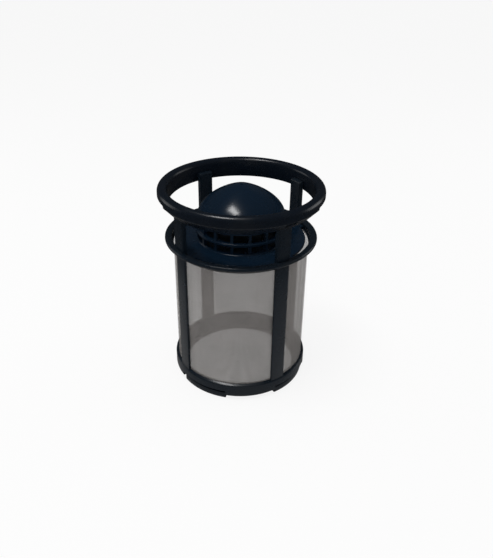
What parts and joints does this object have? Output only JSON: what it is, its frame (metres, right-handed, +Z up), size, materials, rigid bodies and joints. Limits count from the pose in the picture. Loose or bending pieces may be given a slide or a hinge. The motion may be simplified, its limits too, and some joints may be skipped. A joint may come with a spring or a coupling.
{
  "type": "dishwasher filter",
  "caption": "Two-stage cylinder filter: moulded cage with fine mesh wall and floor, clip-on handle ring, bayonet lugs at the foot, and a lift-out domed coarse strainer.",
  "frame": {"origin": "centre of the filter in the plane that its bayonet lugs stand on", "axes": "+Z up along the cylinder's axis, -Y towards the picture's front"},
  "size_m": [0.098, 0.098, 0.127],
  "materials": {
    "cage_plastic": "glossy near-black navy polypropylene",
    "ring_plastic": "glossy near-black navy polypropylene, slightly satin on top",
    "wall_mesh": "fine grey-white woven nylon mesh, see-through",
    "floor_mesh": "fine grey-white woven nylon mesh, see-through",
    "cup_plastic": "high-gloss near-black navy polypropylene"
  },
  "bodies": {
    "cage": {"frame": "cage_plastic", "handle_ring": "ring_plastic", "wall_mesh": "wall_mesh", "floor_mesh": "floor_mesh"},
    "cup": {"coarse_cup": "cup_plastic"}
  },
  "joints": [
    {"name": "cup_lift", "type": "slide", "parent": "cage", "child": "cup", "axis": [0, 0, 1], "range_m": [0, 0.06]}
  ]
}
